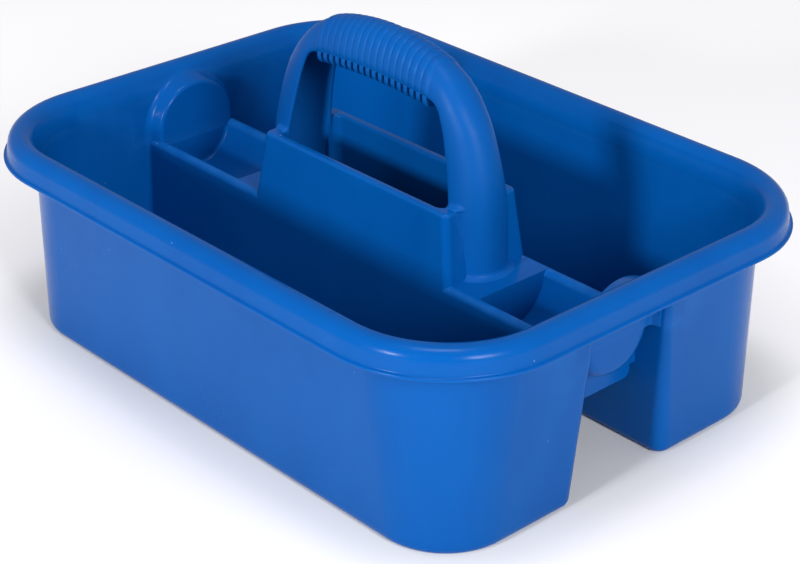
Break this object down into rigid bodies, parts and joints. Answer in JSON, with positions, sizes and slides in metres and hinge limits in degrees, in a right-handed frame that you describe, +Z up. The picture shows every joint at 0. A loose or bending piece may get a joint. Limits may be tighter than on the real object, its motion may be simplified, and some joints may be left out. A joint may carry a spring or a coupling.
{
  "type": "cleaning caddy",
  "caption": "Two-bin moulded cleaning caddy with a rolled rim, centre ridge with end pockets, and an arched ribbed carrying handle.",
  "frame": {"origin": "centre of the footprint, on the floor", "axes": "+X along the length and the handle, +Y across the two bins, +Z up"},
  "size_m": [0.464, 0.352, 0.2349],
  "materials": {
    "blue_plastic": "moulded satin"
  },
  "bodies": {
    "root": {"front_bin": "blue_plastic", "rear_bin": "blue_plastic", "rim": "blue_plastic", "front_ridge": "blue_plastic", "rear_ridge": "blue_plastic", "left_end_wall": "blue_plastic", "right_end_wall": "blue_plastic", "left_pocket": "blue_plastic", "right_pocket": "blue_plastic", "left_deck": "blue_plastic", "right_deck": "blue_plastic", "handle_well": "blue_plastic", "left_handle_post": "blue_plastic", "right_handle_post": "blue_plastic", "grip": "blue_plastic", "grip_ribs": "blue_plastic", "grip_fins": "blue_plastic"}
  },
  "joints": []
}
